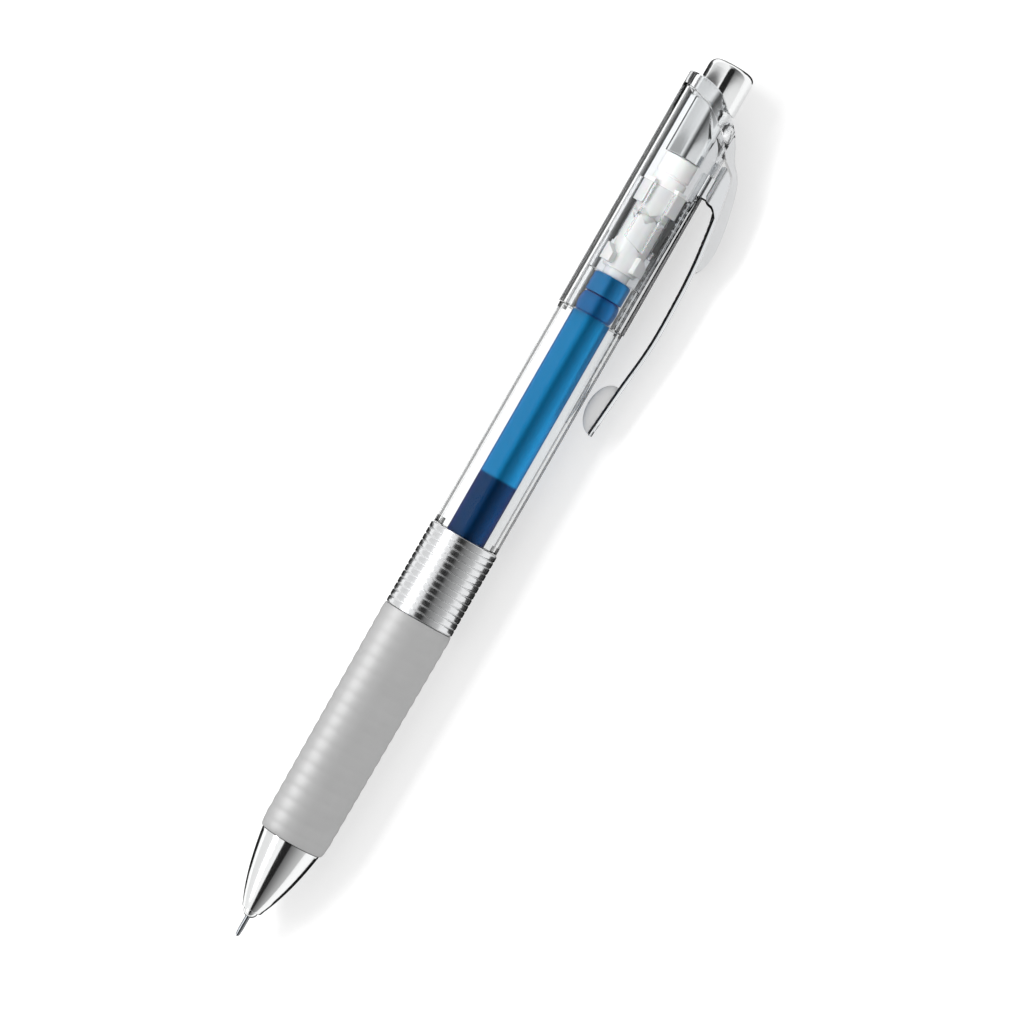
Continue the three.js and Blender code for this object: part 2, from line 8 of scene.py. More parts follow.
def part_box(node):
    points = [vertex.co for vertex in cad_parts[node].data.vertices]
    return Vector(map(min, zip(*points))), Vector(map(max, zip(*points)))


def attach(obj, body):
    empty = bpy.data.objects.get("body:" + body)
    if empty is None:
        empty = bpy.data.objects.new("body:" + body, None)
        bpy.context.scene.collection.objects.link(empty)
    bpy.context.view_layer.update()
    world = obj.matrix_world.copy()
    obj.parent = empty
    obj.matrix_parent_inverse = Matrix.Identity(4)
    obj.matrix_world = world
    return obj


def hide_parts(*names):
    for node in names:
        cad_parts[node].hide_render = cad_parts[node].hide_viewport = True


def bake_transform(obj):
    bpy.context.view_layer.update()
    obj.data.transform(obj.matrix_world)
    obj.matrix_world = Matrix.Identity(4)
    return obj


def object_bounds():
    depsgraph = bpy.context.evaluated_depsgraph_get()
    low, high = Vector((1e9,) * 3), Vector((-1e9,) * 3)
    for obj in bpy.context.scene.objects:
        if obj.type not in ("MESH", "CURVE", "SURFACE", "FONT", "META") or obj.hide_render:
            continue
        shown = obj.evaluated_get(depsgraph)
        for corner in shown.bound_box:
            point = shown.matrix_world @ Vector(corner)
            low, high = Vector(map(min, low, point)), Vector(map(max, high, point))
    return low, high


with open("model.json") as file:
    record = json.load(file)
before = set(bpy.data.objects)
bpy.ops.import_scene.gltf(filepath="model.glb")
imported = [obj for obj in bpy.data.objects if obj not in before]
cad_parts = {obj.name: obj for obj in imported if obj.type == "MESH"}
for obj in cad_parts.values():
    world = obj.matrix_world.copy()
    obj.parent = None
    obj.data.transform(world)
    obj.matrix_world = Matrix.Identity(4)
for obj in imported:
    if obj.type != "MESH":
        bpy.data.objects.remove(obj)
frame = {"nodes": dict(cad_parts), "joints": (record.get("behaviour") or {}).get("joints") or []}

# ---------------------------------------------------------------- the studio
# A glowing white table top in a soft white room, with one softbox low on the side away
# from the clip. Cards lie round the pen and hang over it, for its plating to mirror.

mm = 0.001
cad_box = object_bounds()

# The pen is modelled lying along X with its clip on the -Y side and its axis at zero,
# and each finished piece is then rolled and lifted to where the frame has it.
hinge = next(joint for joint in frame["joints"] if joint["name"] == "clip_flex")
roll = math.atan2(-hinge["axis"][1], hinge["axis"][2])
tube_low, tube_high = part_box("refill_tube")
axis_y = (tube_low.y + tube_high.y) / 2
axis_z = (tube_low.z + tube_high.z) / 2
laid = Matrix.Translation((0, axis_y, axis_z)) @ Matrix.Rotation(roll, 4, "X")


def linear(colour):
    """An sRGB hex colour as linear red, green, blue and alpha."""
    values = [int(colour[i:i + 2], 16) / 255 for i in (1, 3, 5)]
    return (*[v / 12.92 if v <= 0.04045 else ((v + 0.055) / 1.055) ** 2.4 for v in values], 1)


def add_node(tree, kind, inputs, **settings):
    """Adds a node, with its settings, and its inputs as values or as links."""
    made = tree.nodes.new(kind)
    for name, value in settings.items():
        setattr(made, name, value)
    for name, value in inputs.items():
        if isinstance(value, bpy.types.NodeSocket):
            tree.links.new(value, made.inputs[name])
        else:
            made.inputs[name].default_value = value
    return made


def new_material(name, **values):
    """A material whose shader takes the same values all over."""
    material = bpy.data.materials.new(name)
    material.use_nodes = True
    shader = material.node_tree.nodes["Principled BSDF"]
    for key, value in values.items():
        shader.inputs[key.replace("_", " ").title().replace("Ior", "IOR")].default_value = value
    return material, material.node_tree, shader


def cloud_colour(tree, shader, first, second, scale, detail=2.0, stretch=None):
    """Lets a material's colour drift between two, in spots or in lines along the pen."""
    spot = add_node(tree, "ShaderNodeTexCoord", {}).outputs["Object"]
    if stretch:
        along = add_node(tree, "ShaderNodeMapping", {"Vector": spot, "Scale": stretch})
        spot = along.outputs["Vector"]
    noise = add_node(tree, "ShaderNodeTexNoise", {"Vector": spot, "Scale": scale, "Detail": detail})
    tone = add_node(tree, "ShaderNodeMix", {"Factor": noise.outputs["Fac"]}, data_type="RGBA")
    tone.inputs["A"].default_value = linear(first)
    tone.inputs["B"].default_value = linear(second)
    tree.links.new(tone.outputs["Result"], shader.inputs["Base Color"])
    return tone


# The table is a lit sheet, so only a faint shadow is left on it
table_side = 3.0
table_glow = 0.635
bpy.ops.object.select_all(action="DESELECT")
bpy.ops.mesh.primitive_grid_add(x_subdivisions=4, y_subdivisions=4, size=table_side)
table = bpy.context.active_object
table.name = "table_top"
opal, tree, shader = new_material(
    "Backlit opal acrylic", roughness=0.8, specular_ior_level=0.1,
    emission_color=linear("#FFFFFF"), emission_strength=table_glow,
)
cloud_colour(tree, shader, "#B4B4B4", "#B2B2B2", 9.0)
table.data.materials.append(opal)

# The room is brightest on the side away from the clip, and dark overhead
room = bpy.data.worlds.new("Soft white room")
bpy.context.scene.world = room
room.use_nodes = True
tree = room.node_tree
turned = laid.to_3x3()
across = turned @ Vector((0, 1, 0))
look = add_node(tree, "ShaderNodeTexCoord", {})
side = add_node(tree, "ShaderNodeVectorMath", {}, operation="DOT_PRODUCT")
tree.links.new(look.outputs["Generated"], side.inputs[0])
side.inputs[1].default_value = across
share = add_node(tree, "ShaderNodeMapRange", {"Value": side.outputs["Value"], "From Min": -1.0,
                                              "From Max": 1.0})
ramp = add_node(tree, "ShaderNodeValToRGB", {"Fac": share.outputs["Result"]})
stops = [
    (0.0, 0.85), (0.08, 0.60), (0.27, 0.30), (0.44, 0.12), (0.50, 0.10), (0.58, 0.55),
    (0.66, 1.15), (1.0, 0.92),
]
for end, (position, level) in zip(ramp.color_ramp.elements, (stops[0], stops[-1])):
    end.position = position
    end.color = (level, level, level, 1)
for position, level in stops[1:-1]:
    ramp.color_ramp.elements.new(position).color = (level, level, level, 1)
background = tree.nodes["Background"]
tree.links.new(ramp.outputs["Color"], background.inputs["Color"])
background.inputs["Strength"].default_value = 1.0

# The softbox is two lamps. The table's is stopped by every piece. The pen's lights only the
# pieces in lit_pieces and is stopped only by those in solid_pieces, so that clear plastic
# neither glares nor shades what is inside it.
lit_pieces = bpy.data.collections.new("lit_pieces")
solid_pieces = bpy.data.collections.new("solid_pieces")
lit_table = bpy.data.collections.new("lit_table")
lit_table.objects.link(table)


def leaning(degrees):
    """A direction across X, so many degrees from straight up towards +Y."""
    angle = math.radians(degrees)
    return Vector((0, math.sin(angle), math.cos(angle)))


def area_lamp(name, toward, away, size, energy, lit, blockers=None):
    """A lamp panel that faces the pen and lights only the objects in one collection."""
    bpy.ops.object.light_add(type="AREA", location=toward * away)
    lamp = bpy.context.active_object
    lamp.name = name
    lamp.rotation_euler = toward.to_track_quat("Z", "Y").to_euler()
    lamp.data.shape = "RECTANGLE"
    lamp.data.size, lamp.data.size_y = size
    lamp.data.energy = energy
    lamp.visible_camera = False
    lamp.light_linking.receiver_collection = lit
    lamp.light_linking.blocker_collection = blockers
    return lamp


softbox_side = leaning(37)
area_lamp("softbox_for_table", softbox_side, 0.5, (0.5, 0.14), 2.2, lit_table)
area_lamp("softbox_for_pen", softbox_side, 0.5, (1.1, 0.14), 3.2, lit_pieces, solid_pieces)

# A card over the pen, strips laid on the table beside it, and cards that stand by the latch.
# They are seen only by what mirrors or bends the light, where they draw the dark lines of
# plating and clear plastic, and three of them are lit to keep the push button pale.
felt = new_material("Black felt", roughness=1.0, base_color=linear("#050505"))[0]
dark_felt = new_material("Dark grey felt", roughness=1.0, base_color=linear("#505050"))[0]
grey_felt = new_material("Grey felt", roughness=1.0, base_color=linear("#A0A0A0"))[0]
pale_card = new_material("Lit grey card", roughness=1.0, base_color=linear("#202020"),
                         emission_color=linear("#FFFFFF"), emission_strength=0.5)[0]
white_card = new_material("Lit white card", roughness=1.0, base_color=linear("#202020"),
                          emission_color=linear("#FFFFFF"), emission_strength=0.95)[0]


def add_card(name, tone, size, location, tilt, through):
    """A card that is seen in mirrors, and through clear plastic too if asked."""
    bpy.ops.object.select_all(action="DESELECT")
    bpy.ops.mesh.primitive_grid_add(
        x_subdivisions=2, y_subdivisions=2, size=1, location=location, rotation=(tilt, 0, 0),
    )
    card = bpy.context.active_object
    card.name = name
    card.scale = (*size, 1)
    card.data.materials.append(tone)
    card.visible_camera = False
    card.visible_diffuse = False
    card.visible_transmission = through
    card.visible_shadow = False


over_place = laid @ Vector((0, 0.020, 0.250))
add_card("over_card", felt, (1.2, 0.13), over_place, roll, False)
# The strips lie from corner to corner on the table, and are paler beside the clear barrel
ends_x = cad_box[1].x
clear_from, clear_to = -0.005, 0.030
strip_z = 0.0002
for name, tone, corner, far_corner in [
    ("strip_far_front", felt, (-ends_x, 0.0100), (clear_from, 0.0210)),
    ("strip_far_middle", grey_felt, (clear_from, 0.0132), (clear_to, 0.0210)),
    ("strip_far_rear", felt, (clear_to, 0.0100), (ends_x, 0.0210)),
    ("strip_near_front", felt, (-ends_x, -0.0038), (clear_from, -0.0008)),
    ("strip_near_middle", grey_felt, (clear_from, -0.0032), (clear_to, -0.0014)),
    ("strip_near_rear", felt, (clear_to, -0.0038), (0.056, -0.0008)),
    ("strip_under", felt, (-ends_x, 0.0040), (ends_x, 0.0047)),
    ("strip_tip", felt, (-0.0850, -0.0030), (-0.0692, 0.0095)),
    ("strip_end", felt, (0.0724, -0.0030), (0.0850, 0.0095)),
    ("strip_collar_far", dark_felt, (-0.0196, 0.0210), (-0.0058, 0.0330)),
    ("strip_collar_near", dark_felt, (-0.0196, -0.0100), (-0.0058, -0.0038)),
    ("strip_nose_far", felt, (-0.0690, 0.0210), (-0.0575, 0.0260)),
    ("strip_nose_near", felt, (-0.0690, -0.0055), (-0.0575, -0.0038)),
]:
    middle = [(a + b) / 2 for a, b in zip(corner, far_corner)]
    size = [b - a for a, b in zip(corner, far_corner)]
    add_card(name, tone, size, (*middle, strip_z), 0, True)
add_card("strip_cap", dark_felt, (0.0120, 0.0500), (0.0705, 0.0350, strip_z), 0, False)
# The standing cards lean round the pen's axis, each beside one stretch of its length
card_away = 0.06
for name, tone, from_x, to_x, lean, width, through in [
    ("side_card_block", felt, 0.0525, 0.0595, 50, 0.075, False),
    ("side_card_stem", pale_card, 0.0570, 0.0655, 62, 0.095, True),
    ("side_card_cap", dark_felt, 0.0655, 0.0765, 68, 0.105, False),
    ("low_card_stem", white_card, 0.0570, 0.0655, -52, 0.100, True),
    ("low_card_cap", white_card, 0.0655, 0.0765, -52, 0.100, False),
]:
    centre = laid @ (Vector(((from_x + to_x) / 2, 0, 0)) + leaning(lean) * card_away)
    tilt = roll - math.radians(lean)
    add_card(name, tone, (to_x - from_x, width), centre, tilt, through)

# The camera looks square at the flat of the clip, with a long lens
lens = 150.0
view_width = 147.3 * mm
axis_lean = math.radians(29.86)
aim = laid @ Vector((0.6 * mm, -4.0 * mm, 0))
right = turned @ Vector((math.sin(axis_lean), -math.cos(axis_lean), 0))
up = turned @ Vector((math.cos(axis_lean), math.sin(axis_lean), 0))
back = turned @ Vector((0, 0, 1))
camera_data = bpy.data.cameras.new("camera")
camera_data.lens = lens
camera = bpy.data.objects.new("camera", camera_data)
bpy.context.scene.collection.objects.link(camera)
away = lens * view_width / camera_data.sensor_width
facing = Matrix((right, up, back)).transposed().to_4x4()
camera.matrix_world = Matrix.Translation(aim + back * away) @ facing
camera_data.clip_start = 0.01
bpy.context.scene.camera = camera
bpy.context.scene.view_settings.view_transform = "Standard"
bpy.context.scene.cycles.max_bounces = 28
bpy.context.scene.cycles.transmission_bounces = 28
bpy.context.scene.cycles.transparent_max_bounces = 16

# ---------------------------------------------------------------- writing point
# A carbide ball in a drawn steel needle, crimped over it, and the needle pressed into
# a turned and plated holder that shows as a bead in the mouth of the nose cone.


def reach(node):
    """The least and the greatest distance of a node's surface from the pen's axis."""
    corners = frame["nodes"][node].data.vertices
    out = [math.hypot(c.co.y - axis_y, c.co.z - axis_z) for c in corners]
    return min(out), max(out)


def arc(centre_x, centre_radius, radius, start, stop, steps):
    """Stations (x, radius) on an arc, from one angle in degrees to another."""
    angles = [math.radians(start + (stop - start) * n / steps) for n in range(steps + 1)]
    return [
        (centre_x + radius * math.cos(a), centre_radius + radius * math.sin(a)) for a in angles
    ]


def draw_line(points):
    """Starts an edit-mode mesh that is one line through the points."""
    bpy.ops.object.select_all(action="DESELECT")
    bpy.ops.mesh.primitive_plane_add(size=mm)
    bpy.ops.object.mode_set(mode="EDIT")
    bpy.ops.mesh.merge(type="CENTER")
    bpy.ops.transform.translate(value=points[0])
    for here, there in zip(points, points[1:]):
        step = [b - a for a, b in zip(here, there)]
        bpy.ops.mesh.extrude_vertices_move(TRANSFORM_OT_translate={"value": step})
    bpy.ops.mesh.select_all(action="SELECT")


def close_up(name):
    """Turns a mesh's faces outwards, leaves edit mode and names what was drawn."""
    bpy.ops.mesh.select_all(action="SELECT")
    bpy.ops.mesh.normals_make_consistent(inside=False)
    bpy.ops.object.mode_set(mode="OBJECT")
    made = bpy.context.active_object
    made.name = name
    made.data.name = name
    return made


def turn(name, stations, steps=96):
    """Turns a line of (x, radius) stations once round the pen's axis."""
    draw_line([(x, 0, radius) for x, radius in stations])
    bpy.ops.mesh.spin(steps=steps, angle=2 * math.pi, center=(0, 0, 0), axis=(1, 0, 0))
    bpy.ops.mesh.select_all(action="SELECT")
    bpy.ops.mesh.remove_doubles(threshold=mm / 1000)
    return close_up(name)


def turn_ring(name, stations, steps=96):
    """A turned ring, whose line closes on itself."""
    return turn(name, [*stations, stations[0]], steps)


def modify(piece, kind, **settings):
    """Adds a modifier and applies it."""
    bpy.context.view_layer.objects.active = piece
    modifier = piece.modifiers.new(kind.lower(), kind)
    for name, value in settings.items():
        setattr(modifier, name, value)
    bpy.ops.object.modifier_apply(modifier=modifier.name)


def soften(piece, width, segments=2, angle=35):
    """Rounds a piece's sharp edges, as a mould or a tumbling barrel leaves them."""
    modify(piece, "BEVEL", width=width, segments=segments, limit_method="ANGLE",
           angle_limit=math.radians(angle), use_clamp_overlap=True, harden_normals=False)


def pick(piece):
    """Selects one piece alone and makes it the active one."""
    bpy.ops.object.select_all(action="DESELECT")
    piece.select_set(True)
    bpy.context.view_layer.objects.active = piece


see_through = ["Clear polycarbonate", "Grey tinted polycarbonate"]


def fit(piece, body, slot, material, *nodes):
    """Lays a finished piece where the frame has it, and gives it its finish and its body."""
    pick(piece)
    piece.matrix_world = laid @ piece.matrix_world
    bpy.ops.object.transform_apply(location=True, rotation=True, scale=True)
    bpy.ops.object.shade_smooth_by_angle(angle=math.radians(32))
    modify(piece, "WEIGHTED_NORMAL", mode="FACE_AREA", keep_sharp=True)
    if len(piece.data.materials) < 2:
        piece.data.materials.clear()
        piece.data.materials.append(material)
    else:
        piece.data.materials[0] = material
    if body:
        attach(piece, body)
    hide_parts(*nodes)
    if material.name not in see_through:
        lit_pieces.objects.link(piece)
        solid_pieces.objects.link(piece)


tip_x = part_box("writing_ball")[0].x
ball_r = reach("writing_ball")[1]
carbide, tree, shader = new_material("Polished tungsten carbide", metallic=1.0, roughness=0.12)
cloud_colour(tree, shader, "#7F8386", "#9DA1A4", 9000.0)
ball = turn("ball", arc(tip_x + ball_r, 0, ball_r, 180, 0, 20), steps=32)
fit(ball, "refill", "ball_carbide", carbide, "writing_ball")

# Drawn tube: fine lines run along it, too fine to show, so they are drawn 0.05 mm apart
needle_steel, tree, shader = new_material("Drawn stainless steel", metallic=1.0, roughness=0.16)
cloud_colour(tree, shader, "#6F7276", "#93979B", 1.0, stretch=(300, 20000, 20000))
needle_low, needle_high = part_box("needle_pipe")
bore_r, needle_r = reach("needle_pipe")
crimp_x = needle_low.x + 1.05 * mm
needle = turn_ring("needle", [
    (needle_low.x, ball_r + 0.012 * mm),
    (needle_low.x, ball_r + 0.04 * mm),
    (needle_low.x + 0.12 * mm, ball_r + 0.055 * mm),
    (crimp_x - 0.12 * mm, needle_r - 0.012 * mm),
    (crimp_x, needle_r),
    (needle_high.x, needle_r),
    (needle_high.x, bore_r),
    (tip_x + 0.6 * mm, bore_r),
    (tip_x + 0.6 * mm, ball_r + 0.012 * mm),
], steps=48)
fit(needle, "refill", "needle_steel", needle_steel, "needle_pipe")

# Bright chrome plate: mirrors the room, with a faint haze that clouds by the millimetre
chrome, tree, shader = new_material("Bright chrome plate", metallic=1.0,
                                    base_color=linear("#E7E8E8"))
place = add_node(tree, "ShaderNodeTexCoord", {})
haze = add_node(tree, "ShaderNodeTexNoise", {"Vector": place.outputs["Object"], "Scale": 700.0,
                                             "Detail": 4.0})
dull = add_node(tree, "ShaderNodeMapRange", {"Value": haze.outputs["Fac"], "To Min": 0.09,
                                             "To Max": 0.13})
tree.links.new(dull.outputs["Result"], shader.inputs["Roughness"])

holder_low, holder_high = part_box("tip_holder")
nose_low, nose_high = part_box("nose_cone")
pipe_bore, flange_r = reach("tip_holder")
bead_r = 1.15 * mm
bead_long = nose_low.x - holder_low.x
flange_x = nose_low.x + 5.1 * mm
bead = [
    (x, min(r * bead_r / bead_long, bead_r))
    for x, r in arc(nose_low.x, 0, bead_long, 158, 90, 10)
]
holder = turn_ring("holder", [
    (bead[0][0], needle_r + 0.04 * mm),
    *bead,
    (flange_x, bead_r),
    (flange_x, flange_r),
    (flange_x + 1.2 * mm, flange_r),
    (flange_x + 1.2 * mm, bead_r),
    (holder_high.x, bead_r),
    (holder_high.x, pipe_bore),
    (needle_high.x + 0.1 * mm, pipe_bore),
    (needle_high.x + 0.1 * mm, needle_r + 0.04 * mm),
], steps=64)
soften(holder, 0.05 * mm)
fit(holder, "refill", "bright_plate", chrome, "tip_holder")

# ---------------------------------------------------------------- nose cone
# Brass turned to a full curve and chrome plated, with a threaded spigot behind that
# screws into the front barrel. The seat inside takes the front of the return spring.

grip_low, grip_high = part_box("rubber_grip")
cone_back = grip_low.x - 0.1 * mm
mouth_r = bead_r + 0.175 * mm
lip_r = mouth_r + 0.2 * mm
cone_r = 4.65 * mm
spigot_r = 3.95 * mm
sleeve_bore = 3.35 * mm
pull = Vector((nose_low.x + 4.2 * mm, cone_r - 1.05 * mm))
start, stop = Vector((nose_low.x, lip_r)), Vector((cone_back, cone_r))
curve = []
for n in range(1, 33):
    t = n / 32
    curve.append(tuple(start * (1 - t) ** 2 + pull * (2 * t * (1 - t)) + stop * t * t))
thread = []
thread_from = cone_back + 1.2 * mm
thread_pitch = 0.75 * mm
thread_turns = 6
root_r = spigot_r - 0.22 * mm
for n in range(thread_turns):
    thread.append((thread_from + n * thread_pitch, root_r))
    thread.append((thread_from + (n + 0.35) * thread_pitch, spigot_r))
    thread.append((thread_from + (n + 0.65) * thread_pitch, spigot_r))
seat_x = nose_low.x + 5 * mm
seat_bore = 2.1 * mm
nose = turn_ring("nose", [
    (nose_low.x, mouth_r),
    (nose_low.x - 0.02 * mm, (mouth_r + lip_r) / 2),
    (nose_low.x, lip_r),
    *curve,
    (cone_back, root_r),
    *thread,
    (thread_from + thread_turns * thread_pitch, root_r),
    (nose_high.x, root_r),
    (nose_high.x, sleeve_bore),
    (seat_x + 3 * mm, sleeve_bore),
    (seat_x, 2.95 * mm),
    (seat_x, seat_bore),
    (nose_low.x + 3.6 * mm, seat_bore),
    (nose_low.x + 2.6 * mm, mouth_r),
], steps=128)
soften(nose, 0.03 * mm, angle=50)
fit(nose, "nose", "bright_plate", chrome, "nose_cone")

# ---------------------------------------------------------------- rubber grip
# Soft rubber moulded as a sleeve and rolled over the front barrel. Shallow rings go
# round it, and its skin is matt with a fine spark-eroded grain.


def ripple(tree, shader, scale, strength, depth):
    """Gives a material's surface faint waves, as its mould or its flow leaves them."""
    spot = add_node(tree, "ShaderNodeTexCoord", {}).outputs["Object"]
    waves = add_node(tree, "ShaderNodeTexNoise", {"Vector": spot, "Scale": scale})
    bump = add_node(tree, "ShaderNodeBump", {"Height": waves.outputs["Fac"], "Strength": strength,
                                             "Distance": depth})
    tree.links.new(bump.outputs["Normal"], shader.inputs["Normal"])


skin_bore, grip_r = reach("rubber_grip")
grip_front_r = 5.2 * mm
edge_long = 1.4 * mm
rings = 18
ring_depth = 0.08 * mm
ring_steps = 8
full_x = grip_low.x + edge_long
ring_long = (grip_high.x - full_x - 0.2 * mm) / rings
swell = []
for n in range(rings * ring_steps + 1):
    share = n / (rings * ring_steps)
    wave = (1 + math.cos(2 * math.pi * n / ring_steps)) / 2
    crest = grip_front_r + (grip_r - grip_front_r) * share
    swell.append((full_x + n / ring_steps * ring_long, crest - ring_depth * wave ** 1.6))
edge_r = skin_bore + 0.03 * mm
front_edge = [
    (full_x - edge_long * math.cos(a), edge_r + (swell[0][1] - edge_r) * math.sin(a))
    for a in [math.radians(10 * n) for n in range(9)]
]
grip = turn_ring("grip", [
    (grip_low.x, skin_bore),
    *front_edge,
    *swell,
    (grip_high.x - 0.06 * mm, grip_r - ring_depth - 0.03 * mm),
    (grip_high.x, grip_r - ring_depth - 0.12 * mm),
    (grip_high.x, skin_bore),
], steps=144)
rubber, tree, shader = new_material("Matt moulded rubber", roughness=0.48, specular_ior_level=0.4)
cloud_colour(tree, shader, "#A5A5A5", "#ADADAD", 260.0, detail=3.0)
# Grain of about 0.12 mm
ripple(tree, shader, 8300.0, 0.25, 0.02 * mm)
fit(grip, "barrel", "grip_rubber", rubber, "rubber_grip")

# The grip has lamps of its own: one that is only mirrored picks out the rings along one
# side, a key that isn't mirrored lights its top, and a fill lights the clip's side
lit_grip = bpy.data.collections.new("lit_grip")
lit_grip.objects.link(grip)
lit_pieces.objects.unlink(grip)
ring_lamp = area_lamp("ring_lamp", turned @ leaning(70), 0.4, (0.34, 0.26), 5.0, lit_grip)
ring_lamp.visible_diffuse = False
grip_key = area_lamp("grip_key", turned @ leaning(20), 0.5, (0.5, 0.2), 0.85, lit_grip)
grip_key.visible_glossy = False
area_lamp("grip_fill", turned @ leaning(-48), 0.5, (0.4, 0.3), 0.55, lit_grip)

# ---------------------------------------------------------------- front barrel and spring
# A thin clear tube under the rubber and the collar, threaded inside at its front.
# The refill's white adaptor and the plated return spring work inside it.

core_low, core_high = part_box("grip_core")
core_bore, core_r = reach("grip_core")
core = turn_ring("front_barrel", [
    (core_low.x, core_bore),
    (core_low.x, core_r),
    (core_high.x, core_r),
    (core_high.x, core_bore),
])
soften(core, 0.08 * mm)
# Moulded polycarbonate: clear, with faint flow marks a few millimetres long
clear, tree, shader = new_material(
    "Clear polycarbonate", roughness=0.0, ior=1.5, transmission_weight=1.0,
    base_color=linear("#FCFDFD"), specular_tint=linear("#959595"),
)
ripple(tree, shader, 180.0, 0.1, 0.03 * mm)
fit(core, "barrel", "core_plastic", clear, "grip_core")

joint_low, joint_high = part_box("tip_joint")
tube_bore, tube_r = reach("refill_tube")
throat_r, joint_flange_r = reach("tip_joint")
joint_r = 1.75 * mm
joint_flange_x = joint_low.x + 13.3 * mm
adaptor = turn_ring("adaptor", [
    (joint_low.x, bead_r + 0.1 * mm),
    (joint_low.x, joint_r),
    (joint_flange_x, joint_r),
    (joint_flange_x, joint_flange_r),
    (joint_flange_x + 1.2 * mm, joint_flange_r),
    (joint_flange_x + 1.2 * mm, tube_bore - 0.05 * mm),
    (joint_high.x, tube_bore - 0.05 * mm),
    (joint_high.x, throat_r),
    (joint_low.x + 3.5 * mm, throat_r),
    (joint_low.x + 3.5 * mm, bead_r + 0.1 * mm),
])
soften(adaptor, 0.06 * mm)
# Natural moulded plastic: milky, light goes a little way into it
milky, tree, shader = new_material("Natural polypropylene", roughness=0.35,
                                   subsurface_weight=0.4, subsurface_scale=0.8 * mm)
cloud_colour(tree, shader, "#E6EAEC", "#F2F4F5", 500.0)
fit(adaptor, "refill", "joint_plastic", milky, "tip_joint")

coil_r = 2.4 * mm
wire_r = 0.2 * mm
coil_turns = 9
coil_low, coil_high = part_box("return_spring")
coil_rise = (coil_high.x - coil_low.x - 2 * wire_r) / coil_turns
bpy.ops.object.select_all(action="DESELECT")
bpy.ops.mesh.primitive_circle_add(
    vertices=14, radius=wire_r, location=(0, 0, 0), rotation=(math.pi / 2, 0, 0),
)
spring = bpy.context.active_object
bpy.ops.object.transform_apply(location=False, rotation=True, scale=False)
bpy.ops.object.mode_set(mode="EDIT")
bpy.ops.mesh.select_all(action="SELECT")
bpy.ops.transform.translate(value=(coil_low.x + wire_r, 0, coil_r))
bpy.ops.object.mode_set(mode="OBJECT")
coil_steps = 36 * coil_turns
modify(spring, "SCREW", axis="X", angle=2 * math.pi * coil_turns,
       screw_offset=coil_rise * coil_turns, steps=coil_steps, render_steps=coil_steps,
       use_merge_vertices=False)
bpy.ops.object.mode_set(mode="EDIT")
bpy.ops.mesh.select_all(action="SELECT")
bpy.ops.mesh.fill_holes(sides=0)
close_up("coil_spring")
wire, tree, shader = new_material("Plated spring wire", metallic=1.0, roughness=0.22)
cloud_colour(tree, shader, "#A9ADB1", "#CDD0D3", 3000.0)
fit(spring, None, "spring_steel", wire, "return_spring")
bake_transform(spring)

# ---------------------------------------------------------------- ribbed collar
# A chrome plated plastic ring between the grip and the clear barrel, moulded with
# thirteen square ribs and pushed onto the front barrel.

collar_low, collar_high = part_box("ribbed_collar")
collar_bore, collar_r = reach("ribbed_collar")
ribs = 13
rib_depth = 0.12 * mm
rib_long = (collar_high.x - collar_low.x) / ribs
# One rib: how far along its length, and how far up from the groove
rib_profile = [
    (0.05, 0), (0.11, 0.55), (0.18, 0.9), (0.26, 1),
    (0.76, 1), (0.84, 0.9), (0.91, 0.55), (0.97, 0),
]
ribbing = []
for n in range(ribs):
    rib_x = collar_low.x + n * rib_long
    for share, rise in rib_profile:
        ribbing.append((rib_x + share * rib_long, collar_r - rib_depth * (1 - rise)))
collar = turn_ring("collar", [
    (collar_low.x, collar_bore),
    (collar_low.x, collar_r - rib_depth),
    *ribbing,
    (collar_high.x, collar_r - rib_depth),
    (collar_high.x, collar_bore),
], steps=144)
satin, tree, shader = new_material("Chrome plated plastic", metallic=1.0,
                                   base_color=linear("#D6D7D8"))
# Plating is bright on the ribs and dull at the bottom of the grooves
place = add_node(tree, "ShaderNodeTexCoord", {})
from_axis = add_node(tree, "ShaderNodeMapping", {"Vector": place.outputs["Object"],
                                                 "Location": (0, -axis_y, -axis_z),
                                                 "Scale": (0, 1, 1)})
radius = add_node(tree, "ShaderNodeVectorMath", {}, operation="LENGTH")
tree.links.new(from_axis.outputs["Vector"], radius.inputs[0])
dull = add_node(tree, "ShaderNodeMapRange", {"Value": radius.outputs["Value"],
                                             "From Min": collar_r - 0.7 * rib_depth,
                                             "From Max": collar_r - 0.1 * rib_depth,
                                             "To Min": 0.38, "To Max": 0.2})
tree.links.new(dull.outputs["Result"], shader.inputs["Roughness"])
fit(collar, "barrel", "collar_plate", satin, "ribbed_collar")

# ---------------------------------------------------------------- rear barrel
# Water-clear moulded tube with a spigot at each end, one in the front barrel and one
# in the clip housing. The refill shows through it at its true size.

barrel_low, barrel_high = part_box("rear_barrel")
housing_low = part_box("clip_housing")[0]
barrel_r = reach("rear_barrel")[1]
show_from = core_high.x + 0.1 * mm
show_to = housing_low.x - 0.1 * mm
rear_spigot_r = 4.3 * mm
view_bore = 4.5 * mm
rear_bore = 3.55 * mm
step_thick = 0.12 * mm
barrel = turn_ring("clear_barrel", [
    (barrel_low.x, sleeve_bore),
    (barrel_low.x, spigot_r),
    (show_from, spigot_r),
    (show_from, barrel_r),
    (show_to, barrel_r),
    (show_to, rear_spigot_r),
    (barrel_high.x, rear_spigot_r),
    (barrel_high.x, rear_bore),
    (show_to - step_thick, rear_bore),
    (show_to - step_thick, view_bore),
    (show_from + step_thick, view_bore),
    (show_from + step_thick, sleeve_bore),
], steps=128)
soften(barrel, 0.04 * mm)
fit(barrel, "barrel", "clear_plastic", clear, "rear_barrel")

